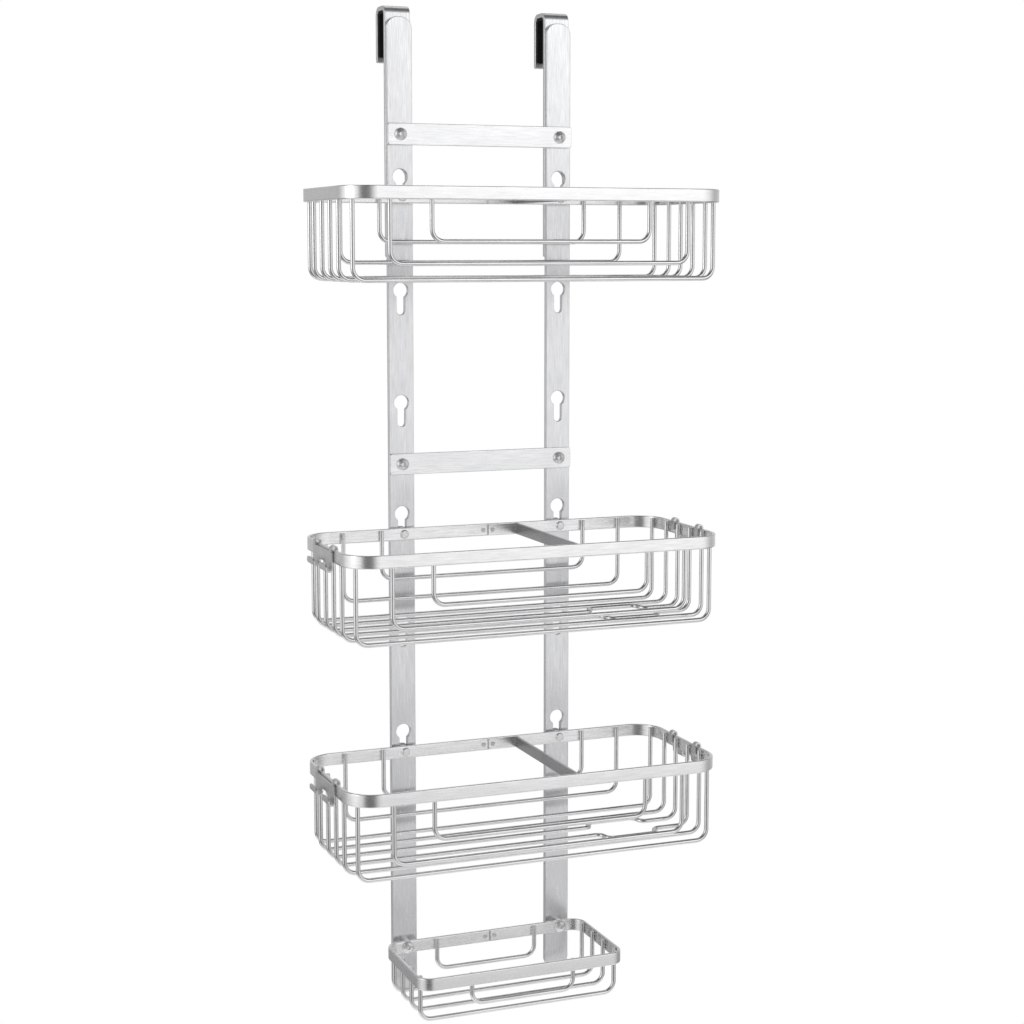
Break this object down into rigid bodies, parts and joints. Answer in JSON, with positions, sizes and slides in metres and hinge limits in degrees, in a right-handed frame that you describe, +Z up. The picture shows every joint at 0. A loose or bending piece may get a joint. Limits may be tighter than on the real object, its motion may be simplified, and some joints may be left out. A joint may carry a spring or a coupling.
{
  "type": "shower caddy",
  "caption": "Over-the-door shower caddy: slotted flat rails with lined hooks, flat cross braces, lift-off wire baskets with dividers and side hooks, and a small wire soap dish.",
  "frame": {"origin": "the door's top front edge, midway between the two rails: Z = 0 is the door's top, Y = 0 its front face", "axes": "+Z up, -Y to the front, +X to the right as seen from the front"},
  "size_m": [0.3188, 0.162, 0.794],
  "materials": {
    "rail_aluminium": "brushed along its length, satin anodised",
    "brace_aluminium": "brushed across, satin anodised",
    "rim_steel": "satin brushed along the band",
    "wire_steel": "satin drawn wire",
    "divider_steel": "satin brushed",
    "hook_steel": "satin folded sheet",
    "fastener_steel": "turned, semi-bright",
    "black_rubber": "matt moulded"
  },
  "bodies": {
    "frame": {"rail_left": "rail_aluminium", "hook_strip_left": "rail_aluminium", "hook_liner_left": "black_rubber", "door_bumper_left": "black_rubber", "rail_right": "rail_aluminium", "hook_strip_right": "rail_aluminium", "hook_liner_right": "black_rubber", "door_bumper_right": "black_rubber", "upper_brace": "brace_aluminium", "lower_brace": "brace_aluminium", "upper_brace_screws": "fastener_steel", "lower_brace_screws": "fastener_steel", "lower_brace_nuts": "fastener_steel", "dish_screws": "fastener_steel", "dish_spacers": "fastener_steel", "dish_nuts": "fastener_steel", "dish_rim": "rim_steel", "dish_floor_wires": "wire_steel", "dish_front_guard": "wire_steel", "dish_rear_guard": "wire_steel"},
    "basket_1": {"basket_1_rim": "rim_steel", "basket_1_floor_wires": "wire_steel", "basket_1_front_inner_guard": "wire_steel", "basket_1_front_outer_guard": "wire_steel", "basket_1_rear_inner_guard": "wire_steel", "basket_1_rear_outer_guard": "wire_steel", "basket_1_divider": "divider_steel", "basket_1_studs": "fastener_steel"},
    "basket_2": {"basket_2_rim": "rim_steel", "basket_2_floor_wires": "wire_steel", "basket_2_front_inner_guard": "wire_steel", "basket_2_front_outer_guard": "wire_steel", "basket_2_rear_inner_guard": "wire_steel", "basket_2_rear_outer_guard": "wire_steel", "basket_2_divider": "divider_steel", "basket_2_studs": "fastener_steel"},
    "basket_3": {"basket_3_rim": "rim_steel", "basket_3_floor_wires": "wire_steel", "basket_3_front_inner_guard": "wire_steel", "basket_3_front_outer_guard": "wire_steel", "basket_3_rear_inner_guard": "wire_steel", "basket_3_rear_outer_guard": "wire_steel", "basket_3_divider": "divider_steel", "basket_3_studs": "fastener_steel"},
    "side_hook_2_left": {"basket_2_side_hook_left": "hook_steel"},
    "side_hook_2_right": {"basket_2_side_hook_right": "hook_steel"},
    "side_hook_3_left": {"basket_3_side_hook_left": "hook_steel"},
    "side_hook_3_right": {"basket_3_side_hook_right": "hook_steel"}
  },
  "joints": [
    {"name": "basket_1_lift", "type": "slide", "parent": "frame", "child": "basket_1", "axis": [0, 0, 1], "range_m": [0, 0.016]},
    {"name": "basket_2_lift", "type": "slide", "parent": "frame", "child": "basket_2", "axis": [0, 0, 1], "range_m": [0, 0.016]},
    {"name": "basket_3_lift", "type": "slide", "parent": "frame", "child": "basket_3", "axis": [0, 0, 1], "range_m": [0, 0.016]},
    {"name": "side_hook_2_left_slide", "type": "slide", "parent": "basket_2", "child": "side_hook_2_left", "axis": [0, 1, 0], "range_m": [-0.005, 0.005]},
    {"name": "side_hook_2_right_slide", "type": "slide", "parent": "basket_2", "child": "side_hook_2_right", "axis": [0, 1, 0], "range_m": [-0.005, 0.005]},
    {"name": "side_hook_3_left_slide", "type": "slide", "parent": "basket_3", "child": "side_hook_3_left", "axis": [0, 1, 0], "range_m": [-0.005, 0.005]},
    {"name": "side_hook_3_right_slide", "type": "slide", "parent": "basket_3", "child": "side_hook_3_right", "axis": [0, 1, 0], "range_m": [-0.005, 0.005]}
  ]
}
